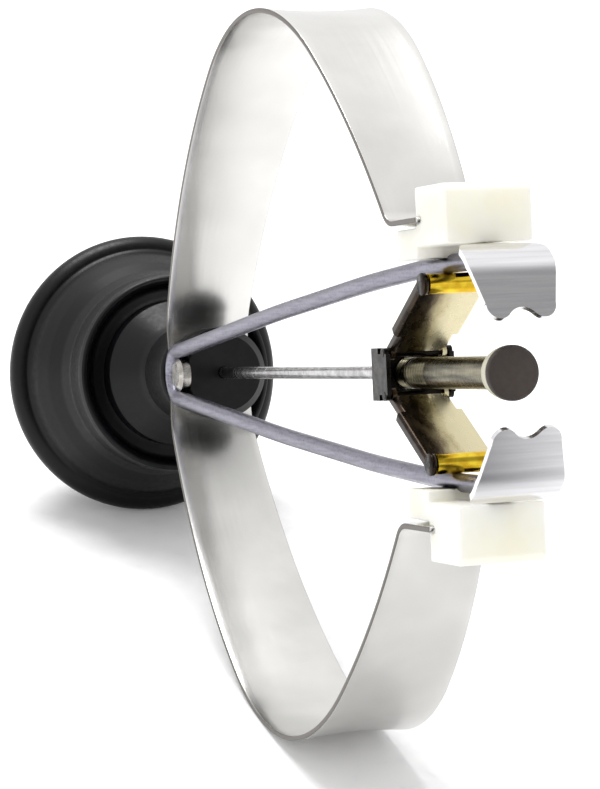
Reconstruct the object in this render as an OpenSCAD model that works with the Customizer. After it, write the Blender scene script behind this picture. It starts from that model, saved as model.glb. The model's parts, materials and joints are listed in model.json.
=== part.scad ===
// Watch hand puller: a sprung bow with a turned knob, two nylon feet and a pair of
// claws that a toggle closes under the watch hand while the plunger holds its arbor.
//
// Every sub-part is drawn along the tool: +X runs from the knob to the claws on the
// tool's axis, +Y is the width of the strip, +Z points to the upper claw, and the
// origin is where the axis meets the inside of the bow. on_bench() then lays the
// tool down as it rests, on the knob's rim and the lower side of the bow.

/* [Bow] */
// Outside width of the bow across the tool
bow_w = 44; // [40:0.5:48]
// Thickness of the spring strip
strip_t = 0.3; // [0.25:0.05:0.4]
// Width of the strip at the knob
strip_w_knob = 5.6; // [5:0.1:6.4]
// Width of the strip at the sides of the bow
strip_w_side = 7.2; // [6:0.1:8]
// Width of the strip where it enters the feet
strip_w_foot = 5; // [4:0.1:5.4]

/* [Knob] */
// Diameter of the knob's rim
knob_d = 20.5; // [18:0.5:24]
// Height of the crown above the rim
crown_h = 6.6; // [4:0.2:8]

/* [Claws] */
// Diameter of the claw wire
wire_d = 1; // [0.8:0.05:1.1]
// Gap between the open jaws
jaw_gap = 5.4; // [5:0.1:6]
// Width of a jaw at its bend
jaw_w = 4.8; // [4.2:0.1:5]
// Thickness of the jaw sheet
jaw_t = 0.32; // [0.25:0.01:0.36]

/* [Plunger] */
// Diameter of the plunger screw
plunger_d = 1.74; // [1.5:0.02:1.8]
// Diameter of the pad on the plunger
pad_d = 2.84; // [2.4:0.02:3.2]
// Diameter of the guide rod
rod_d = 0.78; // [0.6:0.02:0.9]

/* [Feet] */
// Length of the sole across the tool
sole_l = 3.1; // [2.8:0.1:3.6]
// Width of a foot
foot_w = 4.8; // [4.4:0.1:5.2]

/* [Hidden] */

$fn = 96;
fine = 360;
eps = 0.01;
run_fit = 0.04;

// Outline of the bow: headings of the strip in degrees, from straight across the
// tool (0) to straight along it (90), at the ends of its four arcs
seat = 2.6;
crown_r = 4;
crown_a = 29;
shoulder_a = 56;
side_a = 130;
leg_a = 148.7;
shoulder_r = 42.7;
leg_r = 39;
tab_r = 1.2;
function across(r, a, b) = r * (sin(b) - sin(a));
function along(r, a, b) = r * (cos(a) - cos(b));
shoulder_start = [seat + across(crown_r, 0, crown_a), along(crown_r, 0, crown_a)];
side_start = shoulder_start
    + [across(shoulder_r, crown_a, shoulder_a), along(shoulder_r, crown_a, shoulder_a)];
side_r = (bow_w / 2 - strip_t / 2 - side_start[0]) / (1 - sin(shoulder_a));
side_c = side_start + side_r * [-sin(shoulder_a), cos(shoulder_a)];
leg_start = side_c + side_r * [sin(side_a), -cos(side_a)];
leg_c = leg_start + leg_r * [-sin(side_a), cos(side_a)];
tab_start = leg_c + leg_r * [sin(leg_a), -cos(leg_a)];
tab_c = tab_start + tab_r * [sin(leg_a), -cos(leg_a)];
tab_in = tab_c + tab_r * [-1, 0];

// Knob, from the strip back to the crown
knob_r = knob_d / 2;
rim_r = 1.2;
rim_x = -16.6;
neck_r = 3.4;
neck_l = 4.6;
collar_r = 5.2;
collar_x = -7.2;
ring_r = 7.1;
ring_x = -8;
groove_x = -8.9;
crown_r0 = knob_r - rim_r + 0.4;
ball_r = (crown_r0 * crown_r0 + crown_h * crown_h) / (2 * crown_h);
ball_x = rim_x - crown_h + ball_r - 0.6;

// Hub, stud and the hairpin's seat
hub_r = 3.1;
hub_l = 3.2;
stud_r = 1.4;
stud_back = -5.5;
stud_front = 2.4;
rod_back = -5;
bore_r = rod_d / 2 + run_fit;
bight_y = -2.9;
bight_r = 1.62;
bight_x = 2.3;
flat_y = bight_y + wire_d / 2;

// Claws: each wire leaves the hairpin at the root, where the joint of the model lies
root = [3.6, bight_y, 1.73];
wire_a = 7;
wire_b = 5;
wire_end = [49.6, 0, 5.8];
yaw = atan2(-root[1], wire_end[0] - root[0]);
root_gap = 0.06;
jaw_x = 49.85;
jaw_z = wire_end[2] + wire_d / 2 + jaw_t / 2 - 0.02;
jaw_r = 1.3;
jaw_a = 68;
tab_w = 1.5;
lip_z = jaw_gap / 2;
lobe_r = 0.7;
lobe_y = 1.2;
lip_w = 2 * (lobe_y + lobe_r);
// The notch's arc runs smoothly into the lobes on both sides
notch_h = 0.53;
notch_r = (pow(lobe_y, 2) + pow(lobe_r - notch_h, 2) - pow(lobe_r, 2)) / (2 * notch_h);
swell_z = lobe_r * (1 - (lobe_r - notch_h + notch_r) / (lobe_r + notch_r));

// Toggle: pivots on the yoke and in the claws' bushes
yoke_x = 38;
yoke_z = 1.15;
claw_x = 43.8;
claw_z = 4.75;
link_l = sqrt(pow(claw_x - yoke_x, 2) + pow(claw_z - yoke_z, 2));
link_a = atan2(claw_z - yoke_z, claw_x - yoke_x);
pin_r = 0.2;
bush_r = 0.55;
bush_bore_r = pin_r + 0.15;
bush_l = 3.2;
sheet_t = 0.25;
lug_y = 1.4;
cheek_y = 1.7;
link_w = cheek_y + sheet_t;
neck_end = 1.9;
web_front = 0.15;
web_back = sheet_t - web_front;
web_start = 0.3;
web_end = link_l - bush_r - 0.07;
ear_r = 0.4;
yoke_y = 1.75;
yoke_w = yoke_y + 0.27;
yoke_ear_r = 0.3;
base_x = 36.3;
base_t = 0.4;
base_z = 1.12;
yoke_boss_r = 1.3;
yoke_boss_l = 0.9;

// Plunger
screw_back = 34.9;
flare_x = 48.9;
flange_r = 1.18;
flange_x = 49.4;
pad_x = 50.1;
pad_front = 50.9;

// Feet: the strip's tab ends inside them, and their soles face the dial
heel_x = 41.85;
heel_z = 6.05;
heel_top = tab_in[0] - strip_t / 2 - 0.25;
block_x = 44.6;
block_z = 6.68;
sole_x = 48.7;
tab_end = 45.2;
channel_w = 1.9;
channel_z = 6.85;

// How the tool lies: the floor touches the rim of the knob and the side of the bow
rim_c = [rim_x, -(knob_r - rim_r)];
bow_c = [side_c[1] - strip_t / 2, -side_c[0]];
lie_d = norm(bow_c - rim_c);
lean = asin((side_r + strip_t / 2 - rim_r) / lie_d)
    - atan2(bow_c[1] - rim_c[1], bow_c[0] - rim_c[0]);
lift = rim_r - rim_c[0] * sin(lean) - rim_c[1] * cos(lean);
mid_x = 13.798;

// Lays a sub-part that is drawn along the tool down on the bench
module on_bench() {
    translate([-mid_x, 0, lift]) rotate([0, -lean, 0]) children();
}

// Turns a profile, radius along X and place along the axis in Y, about the tool axis
module turned() {
    rotate([0, 90, 0]) rotate_extrude($fn = fine) children();
}

// A cylinder along the tool
module rod(r, from, to) {
    translate([from, 0, 0]) rotate([0, 90, 0]) cylinder(r = r, h = to - from);
}

// A cylinder along the width of the tool, centred on the axis plane
module cross_pin(r, l) {
    rotate([90, 0, 0]) cylinder(r = r, h = l, center = true);
}

// Extrudes an outline in X and Z over a width along Y
module slab(w) {
    rotate([90, 0, 0]) linear_extrude(w, center = true) children();
}

// Extrudes an outline in Y and Z along the tool
module front_cut(from, to) {
    translate([from, 0, 0]) rotate([90, 0, 90]) linear_extrude(to - from) children();
}

// A stretch of bent strip about a centre, between two angles from +X
module band(c, r, from, to, t) {
    far = 2 * r;
    mid = (from + to) / 2;
    translate(c) intersection() {
        difference() {
            circle(r = r + t / 2, $fn = fine);
            circle(r = r - t / 2, $fn = fine);
        }
        polygon([[0, 0], far * [cos(from), sin(from)], far * [cos(mid), sin(mid)],
            far * [cos(to), sin(to)]]);
    }
}

// Half of the bow's edge view, X across the tool and Y along it
module bow_half() {
    translate([-eps, -strip_t / 2]) square([seat + 2 * eps, strip_t]);
    band([seat, crown_r], crown_r, -90, crown_a - 90 + 0.1, strip_t);
    band(side_start + shoulder_r * [-sin(shoulder_a), cos(shoulder_a)], shoulder_r,
        crown_a - 90, shoulder_a - 90 + 0.01, strip_t);
    band(side_c, side_r, shoulder_a - 90, side_a - 90 + 0.02, strip_t);
    band(leg_c, leg_r, side_a - 90, leg_a - 90 + 0.01, strip_t);
    band(tab_c, tab_r, 180, leg_a + 90 + 0.2, strip_t);
    translate([tab_in[0] - strip_t / 2, tab_in[1] - eps])
        square([strip_t, tab_end - tab_in[1] + eps]);
}

// Outline that tapers the strip, half on either side of the widest place
module taper(w_mid, x_mid) {
    half = bow_w / 2 + 1;
    w_far = strip_w_side + (strip_w_side - w_mid) / (bow_w / 2 - x_mid);
    polygon([[-w_mid / 2, x_mid], [w_mid / 2, x_mid], [w_far / 2, half],
        [-w_far / 2, half]]);
}

module bow_spring() {
    color("gainsboro") on_bench() difference() {
        intersection() {
            translate([-strip_t / 2, 0, 0]) for (m = [0, 1]) mirror([0, 0, m])
                rotate([0, -90, -90]) linear_extrude(12, center = true) bow_half();
            for (m = [0, 1]) mirror([0, 0, m]) {
                front_cut(-2, side_c[1]) taper(strip_w_knob, 0);
                front_cut(side_c[1] - eps, 60) taper(strip_w_foot, tab_in[0] - 1);
            }
        }
        rod(stud_r + 0.02, -2, 2);
    }
}

module knob_profile() {
    difference() {
        union() {
            intersection() {
                translate([0, ball_x]) circle(r = ball_r, $fn = fine);
                translate([0, rim_x - 20]) square([knob_r, 20]);
            }
            translate([knob_r - rim_r, rim_x]) circle(r = rim_r);
            translate([0, rim_x - eps]) square([knob_r - rim_r, rim_r + eps]);
            polygon([[0, rim_x], [knob_r - rim_r, rim_x], [knob_r - rim_r, rim_x + rim_r],
                [ring_r + 0.5, -12.2], [ring_r, -11], [ring_r, ring_x - 0.5], [0, ring_x - 0.5]]);
            translate([0, -11]) square([ring_r - 0.5, ring_x + 11]);
            translate([ring_r - 0.5, ring_x - 0.5]) circle(r = 0.5);
            translate([0, -11]) square([collar_r, collar_x + 11]);
            polygon([[0, collar_x - eps], [collar_r, collar_x - eps], [neck_r, -neck_l],
                [neck_r, -strip_t], [0, -strip_t]]);
        }
        translate([collar_r, groove_x]) square([1, 3]);
        translate([-2 * ball_r, -60]) square([2 * ball_r, 120]);
    }
}

module knob() {
    color([0.06, 0.06, 0.07]) on_bench() difference() {
        turned() knob_profile();
        rod(stud_r, stud_back, 1);
        rod(bore_r, rod_back - 3, 1);
    }
}

module stud() {
    color("silver") on_bench() difference() {
        rod(stud_r, stud_back, stud_front);
        rod(bore_r, stud_back - 1, stud_front + 1);
    }
}

module hub() {
    color([0.08, 0.08, 0.08]) on_bench() difference() {
        turned() polygon([[0, 0.02], [hub_r, 0.02], [hub_r, hub_l - 0.5],
            [hub_r - 0.5, hub_l], [0, hub_l]]);
        rod(stud_r, -1, stud_front);
        rod(bore_r, -1, hub_l + 1);
        translate([-1, flat_y - 5, -5]) cube([6, 5, 10]);
        translate([bight_x, flat_y, 0]) cross_pin(0.6, 1.6);
    }
}

module claw_rivet() {
    color("lightgray") on_bench() translate([bight_x, 0, 0]) rotate([90, 0, 0]) {
        translate([0, 0, -flat_y - 0.8]) cylinder(r = 0.6, h = 0.8 + eps);
        translate([0, 0, -flat_y]) cylinder(r = bight_r - wire_d / 2 - 0.02, h = 0.55);
        translate([0, 0, 0.55 - flat_y - eps])
            cylinder(r1 = bight_r - wire_d / 2 - 0.02, r2 = 0.8, h = 0.25);
    }
}

// The closed end of the hairpin, with the start of both legs
module claw_bight() {
    turn = 180 + 2 * wire_a;
    color("silver") on_bench() translate([bight_x, bight_y, 0]) {
        rotate([90, 0, 0]) rotate([0, 0, 180 - turn / 2]) rotate_extrude(angle = turn)
            translate([bight_r, 0]) circle(d = wire_d, $fn = 48);
        for (m = [0, 1]) mirror([0, 0, m]) rotate([0, -wire_a, 0])
            translate([0, 0, bight_r]) rotate([0, 90, 0])
            cylinder(d = wire_d, h = bight_leg, $fn = 48);
    }
}
bight_leg = (root[0] - bight_x - bight_r * sin(wire_a)) / cos(wire_a) - root_gap + 0.19;

// A straight length of wire along X that ends in a knuckle, and then what follows it,
// turned down by an angle
module run(l, a) {
    rotate([0, 90, 0]) cylinder(d = wire_d, h = l, $fn = 48);
    translate([l, 0, 0]) {
        sphere(d = wire_d + 0.008, $fn = 48);
        rotate([0, a, 0]) children();
    }
}

// Lengths of the wire's runs, so that it ends level at wire_end
tip_run = 6;
step_run = 1.4;
step_a = (wire_b - 0.4) / 2;
reach = (wire_end[0] - root[0]) / cos(yaw) - tip_run - step_run * cos(step_a);
rise = wire_end[2] - root[2] - tip_run * sin(wire_b - 2 * step_a)
    - step_run * sin(wire_b - step_a);
run_1 = (rise - reach * tan(wire_b)) / (sin(wire_a) - cos(wire_a) * tan(wire_b));
run_2 = (reach - run_1 * cos(wire_a)) / cos(wire_b);

module claw_wire() {
    color("silver") difference() {
        translate(root) rotate([0, 0, yaw]) rotate([0, -wire_a, 0])
            translate([root_gap / 2, 0, 0]) run(run_1 - root_gap / 2, wire_a - wire_b)
            run(run_2, step_a) run(step_run, step_a)
            rotate([0, 90, 0]) cylinder(d = wire_d, h = tip_run, $fn = 48);
        translate([claw_x, 0, claw_z]) cross_pin(bush_r, bush_l);
    }
}

// Edge view of a jaw: the tab, the bend and the lip
module jaw_section() {
    translate([jaw_x - 3.2, jaw_z - jaw_t / 2]) square([3.2 + eps, jaw_t]);
    band([jaw_x, jaw_z - jaw_r], jaw_r, 90 - jaw_a, 90.1, jaw_t);
    translate([jaw_x, jaw_z - jaw_r]) rotate(-jaw_a)
        translate([-eps, jaw_r - jaw_t / 2]) square([6, jaw_t]);
}

// The jaw's front view as a block: two round lobes with a notch for the hand's tube
module lip_block() {
    lobe_z = lip_z + lobe_r;
    difference() {
        union() {
            front_cut(jaw_x - 5, jaw_x + 6) polygon([[-jaw_w / 2, jaw_z + 1],
                [jaw_w / 2, jaw_z + 1], [jaw_w / 2, jaw_z - 1], [lip_w / 2, lobe_z],
                [-lip_w / 2, lobe_z], [-jaw_w / 2, jaw_z - 1]]);
            for (s = [-1, 1]) translate([0, s * lobe_y, lobe_z])
                rod(lobe_r, jaw_x - 5, jaw_x + 6);
            translate([jaw_x - 5, -lobe_y, lip_z + swell_z])
                cube([11, 2 * lobe_y, lobe_r]);
        }
        translate([0, 0, lip_z + notch_h - notch_r])
            rod(notch_r - eps, jaw_x - 6, jaw_x + 7);
    }
}

module jaw() {
    color("whitesmoke") difference() {
        intersection() {
            slab(jaw_w) jaw_section();
            lip_block();
        }
        for (s = [-1, 1]) translate([jaw_x - 4, s * (tab_w / 2 + 2) - 2, jaw_z - 1])
            cube([3.6, 4, 2]);
        translate([0, 0, wire_end[2]]) rod(wire_d / 2, 40, wire_end[0] + 0.2);
    }
}

module hinge_bush() {
    color("gold") difference() {
        translate([claw_x, 0, claw_z]) cross_pin(bush_r, bush_l);
        translate([claw_x, 0, claw_z]) cross_pin(bush_bore_r, bush_l + 1);
    }
}

// A length of the link's channel along X, its web towards the plunger and the corners
// of the fold rounded
module link_channel(half_w, from, to) {
    front_cut(from, to) {
        translate([-half_w, sheet_t - web_front])
            square([2 * half_w, ear_r + web_front - sheet_t]);
        translate([sheet_t - half_w, -web_front])
            square([2 * (half_w - sheet_t), sheet_t + eps]);
        for (s = [-1, 1]) translate([s * (half_w - sheet_t), sheet_t - web_front])
            circle(r = sheet_t);
    }
}

// A toggle link, drawn from the yoke pin at the origin to the claw's pin along +X: a
// narrow neck between the yoke's cheeks, then the full width round the claw's bush
module link_blank() {
    lug_w = lug_y + sheet_t;
    difference() {
        union() {
            link_channel(lug_w, 0, neck_end + eps);
            link_channel(link_w, neck_end, link_l);
            for (s = [-1, 1]) {
                translate([0, s * (lug_y + sheet_t / 2), 0]) cross_pin(ear_r, sheet_t);
                translate([link_l, s * (cheek_y + sheet_t / 2), 0]) cross_pin(ear_r, sheet_t);
            }
        }
        translate([-1, -lug_y, web_back]) cube([neck_end + 2, 2 * lug_y, 1]);
        translate([neck_end + sheet_t, -cheek_y, web_back]) cube([link_l, 2 * cheek_y, 1]);
        translate([-1, -lug_y, -1]) cube([1 + web_start, 2 * lug_y, 2]);
        translate([web_end, -cheek_y, -1]) cube([2, 2 * cheek_y, 2]);
        cross_pin(pin_r + 0.03, 8);
        translate([link_l, 0, 0]) cross_pin(pin_r, 8);
    }
}

module link() {
    color([0.45, 0.37, 0.3]) translate([yoke_x, 0, yoke_z]) rotate([0, -link_a, 0])
        link_blank();
}

module link_pin() {
    color("silver") translate([claw_x, 0, claw_z]) cross_pin(pin_r, 2 * link_w + 0.04);
}

module yoke_pin() {
    color("silver") translate([yoke_x, 0, yoke_z]) cross_pin(pin_r, 2 * yoke_w + 0.04);
}

module yoke() {
    color([0.1, 0.1, 0.1]) on_bench() difference() {
        union() {
            translate([base_x, -yoke_w, -base_z]) cube([base_t, 2 * yoke_w, 2 * base_z]);
            for (s = [-1, 1]) translate([0, s * (yoke_y + yoke_w) / 2, 0])
                slab(yoke_w - yoke_y) {
                    translate([base_x, -base_z]) square([yoke_x + 0.5 - base_x, 2 * base_z]);
                    for (t = [-1, 1]) {
                        translate([yoke_x, t * yoke_z]) circle(r = yoke_ear_r);
                        translate([base_x, t > 0 ? 0 : -yoke_z - yoke_ear_r])
                            square([1, yoke_z + yoke_ear_r]);
                    }
                }
            rod(yoke_boss_r, base_x - yoke_boss_l, base_x + eps);
        }
        rod(plunger_d / 2 + run_fit, base_x - 3, base_x + 1);
        for (t = [-1, 1]) translate([yoke_x, 0, t * yoke_z]) cross_pin(pin_r, 8);
    }
}

module plunger_screw() {
    color([0.42, 0.4, 0.33]) on_bench() difference() {
        union() {
            rod(plunger_d / 2, screw_back, flare_x + eps);
            translate([flare_x, 0, 0]) rotate([0, 90, 0])
                cylinder(r1 = plunger_d / 2, r2 = flange_r, h = flange_x - flare_x);
            rod(flange_r, flange_x - eps, pad_x);
        }
        rod(rod_d / 2, screw_back - 1, screw_back + 1);
    }
}

module plunger_pad() {
    color([0.25, 0.2, 0.2]) on_bench() turned()
        polygon([[0, pad_x], [pad_d / 2 - 0.06, pad_x], [pad_d / 2, pad_x + 0.1],
            [pad_d / 2, pad_front - 0.12], [pad_d / 2 - 0.12, pad_front], [0, pad_front]]);
}

module guide_rod() {
    color("silver") on_bench() rod(rod_d / 2, rod_back, screw_back + 1);
}

// Edge view of a foot: the heel under the strip and the block round its end
module foot() {
    block_top = block_z + sole_l;
    color("ivory") difference() {
        union() {
            slab(foot_w) translate([heel_x, heel_z])
                square([block_x - heel_x + eps, heel_top - heel_z]);
            slab(foot_w) translate([block_x, block_z])
                square([sole_x - block_x, sole_l]);
        }
        translate([heel_x - 1, -channel_w / 2, heel_z - 1])
            cube([block_x - heel_x + 1, channel_w, channel_z - heel_z + 1]);
        translate([heel_x, -strip_w_foot / 2 - 0.1, tab_in[0] - strip_t / 2 - 0.02])
            cube([tab_end + 0.05 - heel_x, strip_w_foot + 0.2, strip_t + 0.04]);
        translate([sole_x, 0, block_top]) rotate([0, 45, 0])
            cube([0.5, 8, 0.5], center = true);
    }
}

module lower() {
    on_bench() mirror([0, 0, 1]) children();
}

knob();
stud();
bow_spring();
hub();
claw_rivet();
claw_bight();
on_bench() foot();  // foot_upper
lower() foot();  // foot_lower
on_bench() claw_wire();  // claw_wire_upper
on_bench() jaw();  // jaw_upper
on_bench() hinge_bush();  // hinge_bush_upper
lower() claw_wire();  // claw_wire_lower
lower() jaw();  // jaw_lower
lower() hinge_bush();  // hinge_bush_lower
yoke();
on_bench() yoke_pin();  // yoke_pin_upper
lower() yoke_pin();  // yoke_pin_lower
on_bench() link();  // link_upper
on_bench() link_pin();  // link_pin_upper
lower() link();  // link_lower
lower() link_pin();  // link_pin_lower
plunger_screw();
plunger_pad();
guide_rod();
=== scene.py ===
"""Looks of a watch hand puller that lies on a white bench.

The tool is drawn in its own millimetres: x along the axis from the knob to the claws, y across the
spring strip, z to the upper claw, with the zero where the axis meets the inside of the bow. ToolFrame
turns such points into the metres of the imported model, whose joints say how the tool lies.
"""

from __future__ import annotations

import json
import logging
import math
from dataclasses import dataclass
from enum import Enum

import bmesh
import bpy
import numpy as np
from mathutils import Matrix

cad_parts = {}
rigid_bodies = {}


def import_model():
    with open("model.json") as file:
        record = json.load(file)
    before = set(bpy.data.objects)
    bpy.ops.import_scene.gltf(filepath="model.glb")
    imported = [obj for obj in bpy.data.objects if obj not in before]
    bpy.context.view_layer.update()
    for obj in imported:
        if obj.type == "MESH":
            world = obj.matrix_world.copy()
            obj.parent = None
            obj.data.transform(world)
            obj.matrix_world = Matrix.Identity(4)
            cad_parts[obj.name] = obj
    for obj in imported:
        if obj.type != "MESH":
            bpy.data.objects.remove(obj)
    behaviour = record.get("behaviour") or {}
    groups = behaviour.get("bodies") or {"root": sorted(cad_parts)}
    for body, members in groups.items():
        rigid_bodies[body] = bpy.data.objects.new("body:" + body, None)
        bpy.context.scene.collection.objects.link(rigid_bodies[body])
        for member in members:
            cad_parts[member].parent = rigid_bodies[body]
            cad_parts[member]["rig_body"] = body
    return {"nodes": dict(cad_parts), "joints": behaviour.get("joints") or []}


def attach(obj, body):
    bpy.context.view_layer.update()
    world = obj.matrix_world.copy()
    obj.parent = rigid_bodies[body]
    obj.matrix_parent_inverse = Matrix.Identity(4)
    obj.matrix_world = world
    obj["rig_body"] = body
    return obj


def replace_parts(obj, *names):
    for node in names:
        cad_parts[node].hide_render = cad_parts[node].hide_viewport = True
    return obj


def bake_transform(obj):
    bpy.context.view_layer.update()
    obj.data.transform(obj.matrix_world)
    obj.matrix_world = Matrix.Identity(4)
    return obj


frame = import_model()

logging.basicConfig(level=logging.INFO, format="%(message)s")
log = logging.getLogger("hand_puller")

MM = 0.001

Object = bpy.types.Object
Socket = bpy.types.NodeSocket
Tree = bpy.types.NodeTree


class Side(Enum):
    """The two halves of the tool, by the sign of z in its own millimetres."""

    UPPER = 1.0
    LOWER = -1.0

    @property
    def word(self) -> str:
        """The side's name.

        Returns:
            The word as the model's nodes and bodies spell it.
        """
        return self.name.lower()


# Frame of the tool


@dataclass(frozen=True)
class ToolFrame:
    """How the tool lies: its axis rises from the bench, and its zero is a point in metres."""

    along: np.ndarray
    up: np.ndarray
    zero: np.ndarray

    @staticmethod
    def from_joints(pivot_x: float = 38.0) -> "ToolFrame":
        """Reads the tool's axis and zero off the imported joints.

        Args:
            pivot_x: Place of the links' pivots along the tool, in millimetres.

        Returns:
            The frame of the tool.
        """
        joints = {j["name"]: j for j in frame["joints"]}
        along = np.array(joints["plunger_adjust"]["axis"], float)
        along /= np.linalg.norm(along)
        up = np.array([-along[2], 0.0, along[0]])
        pair = [joints[f"link_{s.word}_pivot"]["pos_m"] for s in Side]
        middle = np.mean(np.array(pair, float), axis=0)
        return ToolFrame(along, up, middle - pivot_x * MM * along)

    def place(self, points: np.ndarray, side: Side = Side.UPPER) -> np.ndarray:
        """Turns tool millimetres into metres of the model: zero + x * along + y * Y + z * up.

        Args:
            points: Array of points (n, 3) in tool millimetres, drawn for the upper side.
            side: The half of the tool; the lower one is the mirror image in z.

        Returns:
            Array (n, 3) in metres.
        """
        p = np.asarray(points, float)
        width = np.array([0.0, 1.0, 0.0])
        return (
            self.zero
            + p[:, :1] * MM * self.along
            + p[:, 1:2] * MM * width
            + p[:, 2:3] * MM * side.value * self.up
        )

    def aim(self, direction: np.ndarray) -> np.ndarray:
        """Turns a direction of the tool into one of the model.

        Args:
            direction: Three numbers along x, y and z of the tool.

        Returns:
            Array (3,) in the model's directions.
        """
        d = np.asarray(direction, float)
        return d[0] * self.along + d[1] * np.array([0.0, 1.0, 0.0]) + d[2] * self.up


TOOL = ToolFrame.from_joints()


# Surfaces


def grid_quads(rows: int, cols: int, around: bool) -> np.ndarray:
    """Quads between the points of a grid that is numbered row by row.

    Args:
        rows: Number of rows.
        cols: Number of points in a row.
        around: Whether the last column joins the first.

    Returns:
        Array (n, 4) of point numbers.
    """
    i = np.arange(rows - 1)[:, None]
    j = np.arange(cols if around else cols - 1)[None, :]
    k = (j + 1) % cols
    return np.stack(
        [i * cols + j, i * cols + k, (i + 1) * cols + k, (i + 1) * cols + j], -1
    ).reshape(-1, 4)


def tube_faces(rows: int, cols: int) -> list:
    """Faces of a closed tube: the quads between its rings, and a cap at each end.

    Args:
        rows: Number of rings.
        cols: Number of points in a ring.

    Returns:
        Lists of point numbers.
    """
    sides = grid_quads(rows, cols, True).tolist()
    return [*sides, list(range(cols)), list(range((rows - 1) * cols, rows * cols))]


def show(name: str, data: bpy.types.ID) -> Object:
    """Puts a mesh, lamp or camera in the scene.

    Args:
        name: Name of the object.
        data: What it holds.

    Returns:
        The object, at the origin.
    """
    obj = bpy.data.objects.new(name, data)
    bpy.context.scene.collection.objects.link(obj)
    return obj


def set_at(obj: Object, axes: np.ndarray, place: np.ndarray | tuple) -> None:
    """Turns and moves a lamp or camera.

    Args:
        obj: The object.
        axes: Array (3, 3) with its own axes as columns.
        place: Where it goes, in metres.
    """
    m = np.eye(4)
    m[:3, :3] = axes
    m[:3, 3] = place
    obj.matrix_world = Matrix(m.tolist())


def make_piece(
    name: str,
    points: np.ndarray,
    faces: list,
    uv: np.ndarray | None = None,
    side: Side = Side.UPPER,
) -> Object:
    """Makes an object at the origin whose mesh holds the surface.

    Args:
        name: Name of the piece.
        points: Points in tool millimetres, for the upper side.
        faces: Faces as lists of point numbers.
        uv: One pair for each point, in millimetres along and across the surface.
        side: The half of the tool that it is on.

    Returns:
        The object, with its normals turned outwards.
    """
    mesh = bpy.data.meshes.new(name)
    mesh.from_pydata(TOOL.place(points, side).tolist(), [], faces)
    if uv is not None:
        layer = mesh.uv_layers.new(name="UVMap")
        corners = np.zeros(len(mesh.loops), np.int32)
        mesh.loops.foreach_get("vertex_index", corners)
        layer.data.foreach_set("uv", np.asarray(uv, np.float32)[corners].ravel())
    mesh.validate()
    mesh.polygons.foreach_set("use_smooth", [True] * len(mesh.polygons))
    turn_outwards(mesh)
    return show(name, mesh)


def turn_outwards(mesh: bpy.types.Mesh) -> None:
    """Makes the normals of a closed mesh point outwards.

    Args:
        mesh: The mesh.
    """
    bm = bmesh.new()
    bm.from_mesh(mesh)
    bmesh.ops.recalc_face_normals(bm, faces=bm.faces)
    bm.to_mesh(mesh)
    bm.free()


def revolve(name: str, profile: np.ndarray, turns: int = 160) -> Object:
    """Turns a profile about the tool's axis: point (x, r cos t, r sin t) for each place and angle t.

    Args:
        name: Name of the piece.
        profile: Array (n, 2) of x and radius, whose first and last radius are above zero.
        turns: Number of points round.

    Returns:
        The closed piece.
    """
    t = np.linspace(0, 2 * np.pi, turns, endpoint=False)
    x, r = profile[:, 0], profile[:, 1]
    pts = np.stack(
        [np.repeat(x[:, None], turns, 1), r[:, None] * np.cos(t), r[:, None] * np.sin(t)], -1
    ).reshape(-1, 3)
    return make_piece(name, pts, tube_faces(len(x), turns))


def sweep(
    name: str,
    path: np.ndarray,
    across: np.ndarray,
    other: np.ndarray,
    section: np.ndarray,
    side: Side = Side.UPPER,
) -> Object:
    """Carries a closed section along a path: point path(s) + a(t) across(s) + b(t) other(s).

    Args:
        name: Name of the piece.
        path: Points (n, 3) of the middle line.
        across: Unit vectors (n, 3) of the section's first direction.
        other: Unit vectors (n, 3) of its second direction.
        section: Array (n, m, 2) of the section at each place, or (m, 2) for one that stays the same.
        side: The half of the tool.

    Returns:
        The closed piece, with its map in millimetres along and round the section.
    """
    sec = section if section.ndim == 3 else np.repeat(section[None], len(path), 0)
    m = sec.shape[1]
    pts = (
        path[:, None, :]
        + sec[:, :, :1] * across[:, None, :]
        + sec[:, :, 1:] * other[:, None, :]
    ).reshape(-1, 3)
    length = np.concatenate([[0], np.cumsum(np.linalg.norm(np.diff(path, axis=0), axis=1))])
    round_ = np.concatenate([[0], np.cumsum(np.linalg.norm(np.diff(sec[0], axis=0), axis=1))])
    uv = np.stack(
        [np.repeat(length[:, None], m, 1), np.repeat(round_[None], len(path), 0)], -1
    ).reshape(-1, 2)
    return make_piece(name, pts, tube_faces(len(path), m), uv, side)


def headings(path: np.ndarray) -> np.ndarray:
    """Unit vectors along a path.

    Args:
        path: Points (n, 3).

    Returns:
        Array (n, 3).
    """
    t = np.gradient(path, axis=0)
    return t / np.linalg.norm(t, axis=1)[:, None]


def arc(centre: tuple, radius: float, start: float, end: float, step: float = 0.15) -> np.ndarray:
    """Points on an arc.

    Args:
        centre: Its centre.
        radius: Its radius, in millimetres.
        start: Angle of the first point, in degrees.
        end: Angle of the last.
        step: About how far apart the points are, in millimetres.

    Returns:
        Array (n, 2).
    """
    n = max(3, int(abs(math.radians(end - start)) * radius / step))
    t = np.radians(np.linspace(start, end, n))
    return np.stack([centre[0] + radius * np.cos(t), centre[1] + radius * np.sin(t)], -1)


def ease(obj: Object, width: float, segments: int, angle: float) -> bpy.types.Modifier:
    """Rounds the edges of an object.

    Args:
        obj: The object.
        width: Width of the rounding, in millimetres.
        segments: Faces across the rounding.
        angle: Least angle between faces that are rounded, in degrees.

    Returns:
        The modifier.
    """
    bevel = obj.modifiers.new("edges", "BEVEL")
    bevel.width = width * MM
    bevel.segments = segments
    bevel.limit_method = "ANGLE"
    bevel.angle_limit = math.radians(angle)
    bevel.harden_normals = True
    return bevel


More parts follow.
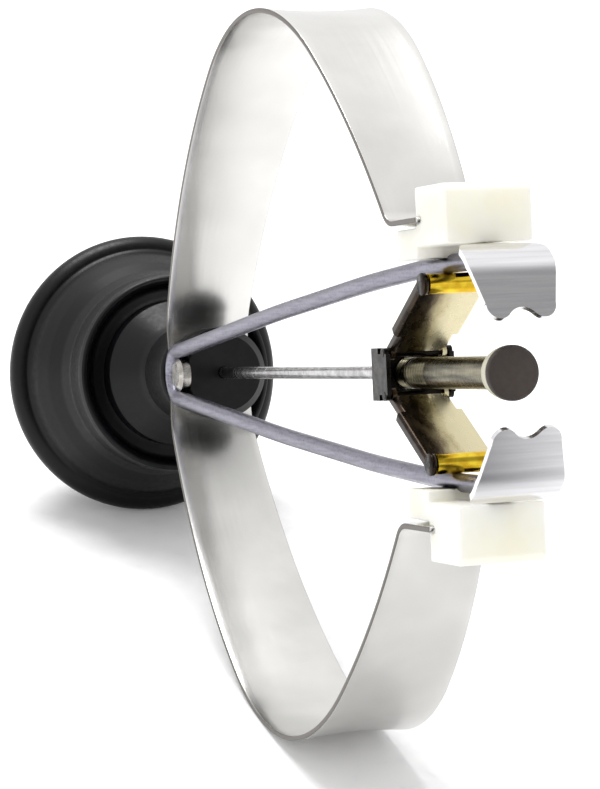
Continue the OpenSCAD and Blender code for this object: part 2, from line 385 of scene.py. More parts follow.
def eased_copy(node: str, width: float) -> Object:
    """Copies a rigid node, merges its loose triangles and rounds its edges.

    Args:
        node: Name of the node.
        width: Width of the rounding, in millimetres.

    Returns:
        The piece, which stands for the node.
    """
    source = frame["nodes"][node]
    mesh = source.data.copy()
    mesh.name = node + "_shape"
    bm = bmesh.new()
    bm.from_mesh(mesh)
    bmesh.ops.remove_doubles(bm, verts=bm.verts, dist=2e-6)
    bmesh.ops.dissolve_limit(
        bm, angle_limit=math.radians(1.0), verts=bm.verts, edges=bm.edges
    )
    bmesh.ops.recalc_face_normals(bm, faces=bm.faces)
    bm.to_mesh(mesh)
    bm.free()
    stale = mesh.attributes.get("custom_normal")
    if stale is not None:
        mesh.attributes.remove(stale)
    mesh.materials.clear()
    obj = show(node + "_shape", mesh)
    mesh.polygons.foreach_set("use_smooth", [True] * len(mesh.polygons))
    ease(obj, width, 3, 35.0).miter_outer = "MITER_ARC"
    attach(obj, source["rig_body"])
    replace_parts(obj, node)
    return obj


# Finishes


def linear(hex_colour: str) -> tuple[float, float, float, float]:
    """Turns an sRGB colour into linear light.

    Args:
        hex_colour: A value such as '#C8C4BC'.

    Returns:
        Red, green, blue and alpha.
    """
    v = np.array([int(hex_colour[i : i + 2], 16) for i in (1, 3, 5)]) / 255
    v = np.where(v <= 0.04045, v / 12.92, ((v + 0.055) / 1.055) ** 2.4)
    return (float(v[0]), float(v[1]), float(v[2]), 1.0)


def add(tree: Tree, kind: str, inputs: dict | None = None, **settings: object) -> bpy.types.Node:
    """Adds a node with its settings and links.

    Args:
        tree: The node tree.
        kind: The node's type, such as 'ShaderNodeTexNoise'.
        inputs: Input name or number to a value, or to a socket that is linked to it.
        settings: Properties of the node.

    Returns:
        The node.
    """
    n = tree.nodes.new(kind)
    for key, value in settings.items():
        setattr(n, key, value)
    for key, value in (inputs or {}).items():
        if isinstance(value, Socket):
            tree.links.new(value, n.inputs[key])
        else:
            n.inputs[key].default_value = value
    return n


def ramp(tree: Tree, factor: Socket, stops: list[tuple[float, str]]) -> Socket:
    """Adds a colour ramp.

    Args:
        tree: The node tree.
        factor: What runs through the ramp.
        stops: Places on the ramp, each with its sRGB hex colour.

    Returns:
        Its colour socket.
    """
    n = add(tree, "ShaderNodeValToRGB", {"Fac": factor})
    while len(n.color_ramp.elements) < len(stops):
        n.color_ramp.elements.new(0.5)
    for element, (place, colour) in zip(n.color_ramp.elements, stops):
        element.position = place
        element.color = linear(colour)
    return n.outputs["Color"]


def noise(
    tree: Tree,
    vector: Socket,
    detail: float,
    scale: float = 1.0,
    rough: float = 0.5,
) -> Socket:
    """Adds a noise pattern.

    Args:
        tree: The node tree.
        vector: Where the pattern is read.
        detail: Number of finer layers.
        scale: Repeats for each unit of the vector.
        rough: Strength of each finer layer against the one before.

    Returns:
        Its value socket.
    """
    values = {"Vector": vector, "Scale": scale, "Detail": detail, "Roughness": rough}
    return add(tree, "ShaderNodeTexNoise", values).outputs["Fac"]


def span(
    tree: Tree,
    value: Socket,
    source: tuple[float, float] = (0.0, 1.0),
    target: tuple[float, float] = (0.0, 1.0),
    kind: str = "LINEAR",
) -> Socket:
    """Maps a value from one range onto another and stops at the ends.

    Args:
        tree: The node tree.
        value: What is mapped.
        source: Its range.
        target: The range that it is mapped onto.
        kind: LINEAR, or SMOOTHSTEP for soft ends.

    Returns:
        The result's socket.
    """
    ends = {"From Min": source[0], "From Max": source[1], "To Min": target[0], "To Max": target[1]}
    n = add(tree, "ShaderNodeMapRange", {"Value": value, **ends}, interpolation_type=kind)
    return n.outputs["Result"]


def sum_of(tree: Tree, operation: str, *values: object) -> Socket:
    """Adds one step of arithmetic.

    Args:
        tree: The node tree.
        operation: The step, such as 'MULTIPLY'.
        values: Its numbers or sockets.

    Returns:
        The result's socket.
    """
    return add(tree, "ShaderNodeMath", dict(enumerate(values)), operation=operation).outputs[0]


def on_map(tree: Tree, scale: tuple[float, float, float]) -> Socket:
    """The piece's own map, in millimetres along and across its surface.

    Args:
        tree: The node tree.
        scale: Repeats for each millimetre.

    Returns:
        A vector socket.
    """
    uv = add(tree, "ShaderNodeUVMap", uv_map="UVMap")
    return add(tree, "ShaderNodeMapping", {"Vector": uv.outputs["UV"], "Scale": scale}).outputs["Vector"]


def along_tool(tree: Tree, scale: tuple[float, float, float]) -> Socket:
    """Object coordinates turned to the tool's axis and scaled.

    Args:
        tree: The node tree.
        scale: Repeats for each millimetre along the axis, across the strip and up.

    Returns:
        A vector socket.
    """
    place = add(tree, "ShaderNodeTexCoord").outputs["Object"]
    lean = math.atan2(TOOL.along[2], TOOL.along[0])
    turned = add(tree, "ShaderNodeMapping", {"Vector": place, "Rotation": (0.0, lean, 0.0)})
    sized = {"Vector": turned.outputs["Vector"], "Scale": tuple(s / MM for s in scale)}
    return add(tree, "ShaderNodeMapping", sized).outputs["Vector"]


@dataclass(frozen=True)
class Finish:
    """A finish with one base colour; the kinds of finish below add the pattern of the real surface."""

    name: str
    colour: str
    metallic: float = 0.0
    roughness: float = 0.5

    def material(self) -> bpy.types.Material:
        """Makes the material once.

        Returns:
            The material, the same one each time.
        """
        found = bpy.data.materials.get(self.name)
        if found is not None:
            return found
        mat, tree = new_material(self.name)
        base = {"Base Color": linear(self.colour), "Metallic": self.metallic, "Roughness": self.roughness}
        shader = add(tree, "ShaderNodeBsdfPrincipled", base)
        add(tree, "ShaderNodeOutputMaterial", {"Surface": shader.outputs["BSDF"]})
        self.pattern(tree, shader)
        return mat

    def pattern(self, tree: Tree, shader: bpy.types.Node) -> None:
        """Adds the pattern of the surface; a plain finish has none.

        Args:
            tree: The material's node tree.
            shader: Its surface shader.
        """

    def skin(
        self,
        tree: Tree,
        shader: bpy.types.Node,
        tone: Socket,
        grain: Socket,
        shares: tuple[float, float],
        relief: tuple | None = None,
    ) -> None:
        """Links a tone, an uneven roughness and a relief to the shader.

        Args:
            tree: The material's node tree.
            shader: Its surface shader.
            tone: The base colour.
            grain: The pattern of the roughness, which runs from about 0.3 to 0.7.
            shares: Shares of the finish's roughness at the pattern's ends.
            relief: The height's socket, its strength and its depth in millimetres.
        """
        tree.links.new(tone, shader.inputs["Base Color"])
        ends = (self.roughness * shares[0], self.roughness * shares[1])
        tree.links.new(span(tree, grain, (0.3, 0.7), ends), shader.inputs["Roughness"])
        if relief is not None:
            height, strength, depth = relief
            rise = {"Height": height, "Strength": strength, "Distance": depth * MM}
            bump = add(tree, "ShaderNodeBump", rise)
            tree.links.new(bump.outputs["Normal"], shader.inputs["Normal"])


def new_material(name: str) -> tuple[bpy.types.Material, Tree]:
    """Makes an empty material.

    Args:
        name: Its name.

    Returns:
        The material and its node tree.
    """
    mat = bpy.data.materials.new(name)
    mat.use_nodes = True
    mat.node_tree.nodes.clear()
    return mat, mat.node_tree


@dataclass(frozen=True)
class RolledStrip(Finish):
    """Cold rolled spring strip, polished: fine lines along the strip and a faint cloudiness."""

    cloud: str = "#D8D5CF"

    def pattern(self, tree: Tree, shader: bpy.types.Node) -> None:
        """Lines that run the length of the strip, 0.11 mm apart, coarser than real, and clouds of 4.5 mm.

        Args:
            tree: The material's node tree.
            shader: Its surface shader.
        """
        grain = noise(tree, on_map(tree, (0.06, 9.0, 1.0)), 3.0)
        clouds = noise(tree, on_map(tree, (1.0, 1.0, 1.0)), 4.0, scale=0.22)
        tone = ramp(tree, clouds, [(0.35, self.cloud), (0.65, self.colour)])
        self.skin(tree, shader, tone, grain, (0.92, 1.12), (grain, 0.02, 0.02))


@dataclass(frozen=True)
class DrawnWire(Finish):
    """Drawn steel wire, satin: die lines along the wire and small dull spots."""

    dull: str = "#96949E"

    def pattern(self, tree: Tree, shader: bpy.types.Node) -> None:
        """Die lines 0.14 mm apart along the axis, coarser than real, and spots of 0.2 mm.

        Args:
            tree: The material's node tree.
            shader: Its surface shader.
        """
        lines = noise(tree, along_tool(tree, (0.4, 7.0, 7.0)), 4.0)
        spots = noise(tree, along_tool(tree, (4.5, 5.5, 5.5)), 4.0)
        half = sum_of(tree, "MULTIPLY", sum_of(tree, "ADD", lines, spots), 0.5)
        tone = ramp(tree, half, [(0.4, self.dull), (0.58, self.colour)])
        self.skin(tree, shader, tone, spots, (0.8, 1.25), (half, 0.18, 0.02))


@dataclass(frozen=True)
class StampedSheet(Finish):
    """Sheet metal with a plated or heat-coloured skin that is uneven from handling."""

    dark: str = "#2A2724"
    bright: str = "#C9B98A"

    def pattern(self, tree: Tree, shader: bpy.types.Node) -> None:
        """Patches a millimetre wide from the dark to the bright colour, and scratches of 0.08 mm.

        Args:
            tree: The material's node tree.
            shader: Its surface shader.
        """
        patches = noise(tree, along_tool(tree, (0.9, 0.9, 0.9)), 6.0, rough=0.62)
        scratches = noise(tree, along_tool(tree, (2.2, 12.0, 2.2)), 3.0)
        tone = ramp(tree, patches, [(0.36, self.dark), (0.5, self.colour), (0.64, self.bright)])
        self.skin(tree, shader, tone, scratches, (0.75, 1.3), (scratches, 0.15, 0.02))


@dataclass(frozen=True)
class ChromateSheet(StampedSheet):
    """Sheet with a yellow chromate skin, whose tone runs across it as painted reflection: dark by the near
    cheek, bright by the far one.
    """

    width: float = 3.9
    wander: float = 0.6

    def pattern(self, tree: Tree, shader: bpy.types.Node) -> None:
        """The share of the way across the sheet, shifted by patches of 1 mm, runs through the tones from the
        painted dark reflection to the painted bright one.

        Args:
            tree: The material's node tree.
            shader: Its surface shader.
        """
        place = add(tree, "ShaderNodeTexCoord").outputs["Object"]
        parts = add(tree, "ShaderNodeSeparateXYZ", {"Vector": place})
        across = span(tree, parts.outputs["Y"], (-self.width / 2 * MM, self.width / 2 * MM))
        patches = noise(tree, along_tool(tree, (0.7, 1.4, 0.7)), 5.0, rough=0.6)
        moved = sum_of(tree, "MULTIPLY_ADD", patches, self.wander, across)
        # Painted reflection: dark by the near cheek, bright by the far one, over the yellow chromate colour.
        stops = [(0.25, self.dark), (0.42, "#463B31"), (0.6, self.colour)]
        stops += [(0.8, "#C6BA92"), (0.95, self.bright)]
        self.skin(tree, shader, ramp(tree, moved, stops), patches, (0.8, 1.25))


@dataclass(frozen=True)
class PressedPlate(Finish):
    """Nickel plate over a polished sheet: faint polishing lines across the jaw."""

    dull: str = "#A9A8AC"

    def pattern(self, tree: Tree, shader: bpy.types.Node) -> None:
        """Lines 0.3 mm apart that run across the jaw, coarser than real polishing lines.

        Args:
            tree: The material's node tree.
            shader: Its surface shader.
        """
        grain = noise(tree, on_map(tree, (3.2, 0.12, 1.0)), 2.0)
        tone = ramp(tree, grain, [(0.34, self.dull), (0.66, self.colour)])
        self.skin(tree, shader, tone, grain, (1.08, 0.94))


@dataclass(frozen=True)
class TurnedMetal(Finish):
    """Lathe-turned metal: fine rings round the axis and a slightly patchy tone."""

    shade: str = "#8A8677"
    pitch: float = 0.09
    patch: tuple[float, float, float] = (1.6, 1.6, 1.6)

    def pattern(self, tree: Tree, shader: bpy.types.Node) -> None:
        """Rings a cutting tool's feed apart along the axis, over patches of 0.6 mm or drawn streaks.

        Args:
            tree: The material's node tree.
            shader: Its surface shader.
        """
        rings = noise(tree, along_tool(tree, (1 / self.pitch, 0.5, 0.5)), 2.0)
        patches = noise(tree, along_tool(tree, self.patch), 5.0)
        tone = ramp(tree, patches, [(0.38, self.shade), (0.62, self.colour)])
        self.skin(tree, shader, tone, rings, (0.75, 1.3), (rings, 0.2, 0.015))


@dataclass(frozen=True)
class MouldedPlastic(Finish):
    """Injection moulded plastic: a faint orange peel, a drifting tone and some light let through."""

    shade: str = "#E3DCC4"
    depth: float = 0.0
    peel: float = 0.5
    gloss: float = 0.5

    def pattern(self, tree: Tree, shader: bpy.types.Node) -> None:
        """A tone that drifts over 3 mm and a peel of 0.3 mm.

        Args:
            tree: The material's node tree.
            shader: Its surface shader.
        """
        drift = noise(tree, along_tool(tree, (0.3, 0.3, 0.3)), 3.0)
        fine = noise(tree, along_tool(tree, (3.0, 3.0, 3.0)), 3.0)
        tone = ramp(tree, drift, [(0.35, self.shade), (0.65, self.colour)])
        self.skin(tree, shader, tone, fine, (0.85, 1.2), (fine, self.peel * 0.3, 0.03))
        shader.inputs["Specular IOR Level"].default_value = self.gloss
        if self.depth > 0:
            shader.inputs["Subsurface Weight"].default_value = 0.6
            shader.inputs["Subsurface Radius"].default_value = (1.0, 0.95, 0.8)
            shader.inputs["Subsurface Scale"].default_value = self.depth * MM


BOW_STEEL = RolledStrip("polished_spring_steel", "#E4E3E0", 1.0, 0.24, cloud="#DAD9D6")
BOW_EDGE = Finish("slit_edge_steel", "#77736F", 1.0, 0.45)
WIRE_STEEL = DrawnWire("satin_drawn_wire", "#93929D", 1.0, 0.34, dull="#7B7A86")
JAW_NICKEL = PressedPlate("nickel_plated_sheet", "#F1F0F2", 1.0, 0.2, dull="#DEDDE0")
BUSH_BRASS = TurnedMetal("turned_brass", "#F6D640", 1.0, 0.16, shade="#DDB22C")
YOKE_BLACK = StampedSheet(
    "blackened_steel", "#171411", 0.7, 0.3, dark="#0C0B0A", bright="#2E2823"
)
# Links: yellow chromate colour with painted reflection across them, dark by the near cheek and bright by the
# far one.
LINK_CHROMATE_PAINTED_REFLECTION = ChromateSheet(
    "yellow_chromate_sheet", "#7A6B52", 1.0, 0.27, dark="#1B1714", bright="#DDD3AE"
)
PIN_STEEL = TurnedMetal("turned_steel", "#C9C6C0", 1.0, 0.26, shade="#A19D97")
PIN_DARK = TurnedMetal("blackened_pin", "#2A2622", 1.0, 0.35, shade="#1A1715")
ROD_STEEL = TurnedMetal("ground_steel", "#C9C8C8", 1.0, 0.22, shade="#A09E9E", pitch=0.2)
SCREW_STEEL = TurnedMetal(
    "gunmetal_steel", "#86806A", 1.0, 0.28, shade="#4A4638", patch=(0.22, 2.4, 2.4)
)
PAD_FACE = MouldedPlastic("brown_nylon", "#463C37", 0.0, 0.6, shade="#38302C", peel=1.0)
COLLAR_PALE = MouldedPlastic("pale_nylon", "#D6D3C0", 0.0, 0.4, shade="#C6C2AC")
FOOT_NYLON = MouldedPlastic("ivory_nylon", "#FAF7EC", 0.0, 0.5, shade="#F4F0DE", depth=2.0)
KNOB_PLASTIC = MouldedPlastic(
    "satin_black_plastic", "#07070A", 0.0, 0.36, shade="#050507", gloss=0.22
)
HUB_BLACK = TurnedMetal("blackened_hub", "#121213", 0.4, 0.35, shade="#0A0A0B")


def dress(obj: Object, finish: Finish) -> None:
    """Gives an object one finish in every slot.

    Args:
        obj: The object.
        finish: The finish.
    """
    mat = finish.material()
    if not obj.material_slots:
        obj.data.materials.append(mat)
    for s in obj.material_slots:
        s.link = "OBJECT"
        s.material = mat


def dress_nodes(finish: Finish, *nodes: str) -> None:
    """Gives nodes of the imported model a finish.

    Args:
        finish: The finish.
        nodes: Names of the nodes.
    """
    for n in nodes:
        dress(frame["nodes"][n], finish)
        log.info("%s: %s", n, finish.name)


# Sub-assemblies


@dataclass
class Bow:
    """The spring strip: two mirrored halves that run from the knob round to the feet."""

    width: float = 44.0
    strip: float = 0.3
    knob_w: float = 5.6
    side_w: float = 7.2
    foot_w: float = 5.0
    seat: float = 2.6
    turns: tuple = (29.0, 56.0, 130.0, 148.7)
    radii: tuple = (4.0, 42.7, 39.0, 1.2)
    tab_end: float = 45.2
    crown: float = 0.2
    corner: float = 0.07

    def line(self) -> np.ndarray:
        """The strip's middle line as (x, z), made of arcs that follow each other at the same heading.

        Returns:
            Array (n, 2) in tool millimetres.
        """
        a1, a2, a3, a4 = self.turns
        r1, r2, r4, r5 = self.radii
        turn = lambda h: np.array([math.sin(math.radians(h)), -math.cos(math.radians(h))])
        start = np.array([self.seat, 0.0])
        c1 = start + [0.0, r1]
        p1 = c1 + r1 * turn(a1)
        c2 = p1 - r2 * turn(a1)
        p2 = c2 + r2 * turn(a2)
        r3 = (self.width / 2 - self.strip / 2 - p2[0]) / (1 - math.sin(math.radians(a2)))
        c3 = p2 - r3 * turn(a2)
        p3 = c3 + r3 * turn(a3)
        c4 = p3 - r4 * turn(a3)
        p4 = c4 + r4 * turn(a4)
        c5 = p4 + r5 * turn(a4)
        p5 = c5 + np.array([-r5, 0.0])
        parts = [
            np.stack([np.linspace(0.0, self.seat, 12), np.zeros(12)], -1),
            arc(c1, r1, -90, a1 - 90)[1:],
            arc(c2, r2, a1 - 90, a2 - 90)[1:],
            arc(c3, r3, a2 - 90, a3 - 90)[1:],
            arc(c4, r4, a3 - 90, a4 - 90)[1:],
            arc(c5, r5, a4 + 90, 180)[1:],
            np.stack([np.full(20, p5[0]), np.linspace(p5[1], self.tab_end, 20)], -1)[1:],
        ]
        across = np.concatenate(parts)
        return np.stack([across[:, 1] - self.strip / 2, across[:, 0]], -1)

    def half(self, side: Side) -> Object:
        """Carries the strip's section along the middle line; its width grows with the distance from the axis.

        Args:
            side: The half of the tool.

        Returns:
            The piece.
        """
        xz = self.line()
        path = np.stack([xz[:, 0], np.zeros(len(xz)), xz[:, 1]], -1)
        t = headings(path)
        width_dir = np.tile([0.0, 1.0, 0.0], (len(path), 1))
        thick_dir = np.cross(t, width_dir)
        far = self.width / 2
        tab = xz[-1, 1]
        back = self.knob_w + (self.side_w - self.knob_w) * xz[:, 1] / far
        front = self.foot_w + (self.side_w - self.foot_w) * np.clip(
            (xz[:, 1] - tab + 1) / (far - tab + 1), 0, 1
        )
        apex = int(np.argmax(xz[:, 1]))
        w = np.where(np.arange(len(xz)) <= apex, back, front) / 2
        crown = self.crown * np.clip(xz[:, 1] / 4.0, 0, 1)
        ring, edges = self.section()
        y = ring[None, :, 0] * w[:, None] + ring[None, :, 1]
        swell = crown[:, None] * (1 - (y / w[:, None]) ** 2)
        sec = np.stack([y, np.repeat(ring[None, :, 2], len(w), 0) - swell], -1)
        obj = sweep(f"bow_half_{side.word}", path, width_dir, thick_dir, sec, side)
        strip = np.zeros(len(obj.data.polygons), np.int32)
        strip[: (len(path) - 1) * len(ring)] = np.tile(edges, len(path) - 1)
        z = side.value * tab
        tuple(TOOL.place(np.array([[2.0, 0.0, 0.0]]))[0])
        tuple(TOOL.place(np.array([[41.0, 0.0, z]]))[0])
        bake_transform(obj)
        dress(obj, BOW_STEEL)
        obj.data.materials.append(None)
        obj.material_slots[1].link = "OBJECT"
        obj.material_slots[1].material = BOW_EDGE.material()
        obj.data.polygons.foreach_set("material_index", strip)
        return obj

    def section(self) -> tuple[np.ndarray, np.ndarray]:
        """Ring of points round the strip: two faces with a slit edge between them, and small round corners.

        Returns:
            Array (m, 3) of the share of the half width, what is added to it, and the height; and an
            array (m,) that is 1 where the ring runs along a slit edge.
        """
        r = self.corner
        h = self.strip / 2
        a = np.radians(np.linspace(0, 90, 5))
        inwards, up = r * (np.cos(a) - 1), h + r * (np.sin(a) - 1)
        face = np.linspace(1, -1, 15)[1:-1]
        quarter = np.stack([np.ones(5), inwards, up], -1)
        top = np.stack([face, -r * face, np.full(13, h)], -1)
        half = np.concatenate([quarter, top, quarter[::-1] * [-1, -1, 1]])
        edge = np.zeros(2 * len(half), np.int32)
        edge[[0, 1, 2, len(half) - 4, len(half) - 3, len(half) - 2, len(half) - 1]] = 1
        edge[len(half) :] = edge[: len(half)]
        return np.concatenate([half, half * [-1, -1, -1]]), edge

    def build(self) -> None:
        """Makes both halves; together they stand for the spring."""
        for side in Side:
            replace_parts(self.half(side), "bow_spring")
            log.info("bow half: %s", side.word)


@dataclass
class Knob:
    """The moulded knob: a low crown, a round rim, a waist and a collar with a groove."""

    radius: float = 10.25
    rim_r: float = 1.2
    rim_x: float = -16.6
    crown: float = 6.6

    def profile(self) -> np.ndarray:
        """Outline from the strip back to the crown as (x, radius), with its corners rounded by short arcs.

        Returns:
            Array (n, 2) in tool millimetres.
        """
        crown_r0 = self.radius - self.rim_r + 0.4
        ball = (crown_r0**2 + self.crown**2) / (2 * self.crown)
        ball_x = self.rim_x - self.crown + ball - 0.6
        rim_c = self.radius - self.rim_r
        touch = math.acos((ball_x - self.rim_x) / math.hypot(ball_x - self.rim_x, rim_c))
        front = [(-0.3, 1.2), (-0.3, 3.2), (-0.5, 3.4), (-4.5, 3.4), (-5.0, 3.65), (-7.0, 5.05)]
        front += [(-7.2, 5.2), (-7.45, 5.2), (-8.85, 5.2), (-8.9, 5.3), (-8.9, 6.2), (-8.5, 6.3)]
        front += [(-8.1, 6.45), (-8.0, 6.7), (-8.15, 7.0), (-8.5, 7.1), (-10.9, 7.1)]
        front += [(-11.1, 7.12), (-12.1, 7.5), (-13.2, 8.15), (-14.4, 8.75), (-15.2, 9.05)]
        rim = arc((self.rim_x, rim_c), self.rim_r, 10, 180 - math.degrees(touch) * 0.5, 0.08)
        edge_a = math.asin(min(1.0, (rim_c - 0.25) / ball))
        t = np.linspace(edge_a, 0.01, 70)
        dome = np.stack([ball_x - ball * np.cos(t), ball * np.sin(t)], -1)
        return np.concatenate([np.array(front), rim, dome])

    def build(self) -> None:
        """Turns the profile about the axis."""
        pts = self.profile()
        way = np.concatenate([[0], np.cumsum(np.hypot(*np.diff(pts, axis=0).T))])
        at = np.union1d(way, np.arange(0, way[-1], 0.35))
        fine = np.stack([np.interp(at, way, pts[:, 0]), np.interp(at, way, pts[:, 1])], -1)
        obj = revolve("knob_turned", fine, 200)
        dress(obj, KNOB_PLASTIC)
        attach(obj, "handle")
        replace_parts(obj, "knob")
        log.info("knob: %d points", len(obj.data.vertices))


@dataclass
class Claws:
    """The hairpin of wire with a jaw at the end of each leg."""

    wire: float = 1.0
    bight: tuple = (2.3, -2.9, 1.62)
    root: tuple = (3.6, -2.9, 1.73)
    pitch: float = 7.0
    leg: tuple = ((20.2, -1.86, 3.75), (34.0, -0.99, 5.12), (43.3, -0.4, 5.78), (49.6, 0.0, 5.8))
    jaw_t: float = 0.32
    jaw_x: float = 49.85
    jaw_r: float = 1.3
    soft_r: float = 2.5
    jaw_a: float = 68.0
    jaw_w: float = 4.8
    tab_w: float = 1.5
    lip_z: float = 2.7
    lobe_r: float = 0.7
    lobe_y: float = 1.2
    notch_h: float = 0.53
    rear_r: float = 0.9
    rear_cut: float = 0.5
    sink: float = 0.02
    wide: float = 0.4
    flat: float = 0.4
    tab_l: float = 3.2

    def leg_line(self) -> np.ndarray:
        """Middle line of one half of the hairpin: half of the bight, then the leg, eased at its bends.

        Returns:
            Array (n, 3) in tool millimetres.
        """
        bx, by, br = self.bight
        start = arc((bx, 0.0), br, 180, 90 + self.pitch, 0.12)
        bend = np.stack([start[:, 0], np.full(len(start), by), start[:, 1]], -1)
        knots = np.array([self.root, *self.leg])
        parts = []
        for a, b in zip(knots[:-1], knots[1:]):
            n = int(np.linalg.norm(b - a) / 0.25)
            parts.append(a + (b - a) * np.linspace(0, 1, n, endpoint=False)[:, None])
        leg = np.concatenate(parts + [knots[-1:]])
        width = 9
        kernel = np.ones(2 * width + 1) / (2 * width + 1)
        padded = np.concatenate(
            [2 * leg[:1] - leg[width:0:-1], leg, 2 * leg[-1:] - leg[-2 : -width - 2 : -1]]
        )
        eased = np.stack([np.convolve(padded[:, i], kernel, "valid") for i in range(3)], -1)
        return np.concatenate([bend, eased[1:]])

    def wire_half(self, side: Side) -> Object:
        """Carries a circle along the leg's line.

        Args:
            side: The half of the tool.

        Returns:
            The piece.
        """
        path = self.leg_line()
        t = headings(path)
        across = np.cross(np.tile([0.0, 1.0, 0.0], (len(path), 1)), t)
        across /= np.linalg.norm(across, axis=1)[:, None]
        other = np.cross(t, across)
        a = np.linspace(0, 2 * np.pi, 28, endpoint=False)
        section = self.wire / 2 * np.stack([np.cos(a), np.sin(a)], -1)
        obj = sweep(f"wire_{side.word}", path, across, other, section, side)
        tuple(TOOL.place(np.array([[1.0, -2.9, 0.0]]))[0])
        tuple(TOOL.place(np.array([[9.0, -2.9, 0.0]]))[0])
        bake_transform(obj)
        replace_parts(obj, f"claw_wire_{side.word}", "claw_bight")
        dress(obj, WIRE_STEEL)
        return obj

    def bend_start(self) -> float:
        """Where the plate starts to bend, so that its softer bend runs into the node's lip.

        Returns:
            Place along the tool, in millimetres.
        """
        return self.jaw_x - (self.soft_r - self.jaw_r) * math.tan(math.radians(self.jaw_a / 2))

    def top(self) -> float:
        """Height of the flat plate's middle, which sits on the end of the wire and a little into it.

        Returns:
            Height over the axis, in millimetres.
        """
        return self.leg[-1][2] + self.wire / 2 + self.jaw_t / 2 - self.sink

    def rear(self) -> float:
        """Rear end of the plate's full width, which the foot's heel clears when the bow is squeezed.

        Returns:
            Place along the tool, in millimetres.
        """
        return self.jaw_x - self.wide

    def edge_height(self, y: np.ndarray) -> np.ndarray:
        """Height of the jaw's lip over the axis: two round lobes with a hollow arc between them.

        Args:
            y: Places across the jaw, in millimetres.

        Returns:
            Array of heights.
        """
        a = np.abs(y)
        drop = self.lobe_r - self.notch_h
        hollow = (self.lobe_y**2 + drop**2 - self.lobe_r**2) / (2 * self.notch_h)
        meet = self.lobe_y * hollow / (hollow + self.lobe_r)
        lobe = self.lobe_r - np.sqrt(np.clip(self.lobe_r**2 - (a - self.lobe_y) ** 2, 0, None))
        arch = self.notch_h - hollow + np.sqrt(np.clip(hollow**2 - a**2, 0, None))
        return self.lip_z + np.where(a < meet, arch, lobe)

    def jaw_surface(self, side: Side) -> Object:
        """The bent plate: place s along its section and y across it, cut off at the lip's height.

        Args:
            side: The half of the tool.

        Returns:
            The piece.
        """
        z_top = self.top()
        bend = math.radians(self.jaw_a)
        lip_w = 2 * (self.lobe_y + self.lobe_r)
        bend_l = self.soft_r * bend
        z_bend = z_top - self.soft_r * (1 - math.cos(bend))
        cols, rows = 121, 60
        u = -np.cos(np.linspace(0, np.pi, cols))
        lip = self.edge_height(u * lip_w / 2)
        s_end = self.flat + bend_l + (z_bend - lip) / math.sin(bend)
        v = np.linspace(0, 1, rows)[:, None]
        start = self.flat + self.rear() - self.bend_start()
        s = start + v * (s_end[None] - start)
        a = np.clip((s - self.flat) / self.soft_r, 0, bend)
        rest = np.clip(s - self.flat - bend_l, 0, None)
        x = self.bend_start() + self.soft_r * np.sin(a) + rest * math.cos(bend)
        z = z_top - self.soft_r * (1 - np.cos(a)) - rest * math.sin(bend)
        narrow = np.interp(z, [self.lip_z + self.lobe_r, z_top - 1.0], [lip_w, self.jaw_w])
        rear = np.clip(1 - (s - start) / self.rear_r, 0, 1)
        y = u[None] * (narrow / 2 - self.rear_cut * rear**2)
        pts = np.stack([x, y, z], -1).reshape(-1, 3)
        uv = np.stack([s, y], -1).reshape(-1, 2)
        faces = grid_quads(rows, cols, False).tolist()
        obj = make_piece(f"jaw_{side.word}_plate", pts, faces, uv, side)
        self.thicken(obj)
        return obj

    def tab_surface(self, side: Side) -> Object:
        """The narrow tab along the wire: point (x, y), level and then falling with the bend's square.

        Args:
            side: The half of the tool.

        Returns:
            The piece.
        """
        z_top = self.top()
        x, y = np.meshgrid(
            np.linspace(self.jaw_x - self.tab_l, self.rear() + 0.1, 24),
            np.linspace(-self.tab_w / 2, self.tab_w / 2, 7),
            indexing="ij",
        )
        z = z_top - np.clip(x - self.bend_start(), 0, None) ** 2 / (2 * self.soft_r)
        pts = np.stack([x.ravel(), y.ravel(), z.ravel()], -1)
        uv = np.stack([x.ravel(), y.ravel()], -1)
        faces = grid_quads(24, 7, False).tolist()
        obj = make_piece(f"jaw_{side.word}_tab", pts, faces, uv, side)
        self.thicken(obj)
        return obj

    def thicken(self, obj: Object) -> None:
        """Gives a plate its thickness and eases its edges.

        Args:
            obj: The plate's middle surface.
        """
        solid = obj.modifiers.new("thickness", "SOLIDIFY")
        solid.thickness = self.jaw_t * MM
        solid.offset = 0.0
        ease(obj, 0.05, 2, 50.0)

    def build(self) -> None:
        """Makes the wires and the jaws, and dresses the bushes and the rivet."""
        for side in Side:
            self.wire_half(side)
            for piece in (self.jaw_surface(side), self.tab_surface(side)):
                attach(piece, f"claw_{side.word}")
                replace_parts(piece, f"jaw_{side.word}")
                dress(piece, JAW_NICKEL)
            log.info("claw: %s", side.word)
        dress_nodes(BUSH_BRASS, "hinge_bush_upper", "hinge_bush_lower")
        dress_nodes(PIN_STEEL, "claw_rivet")


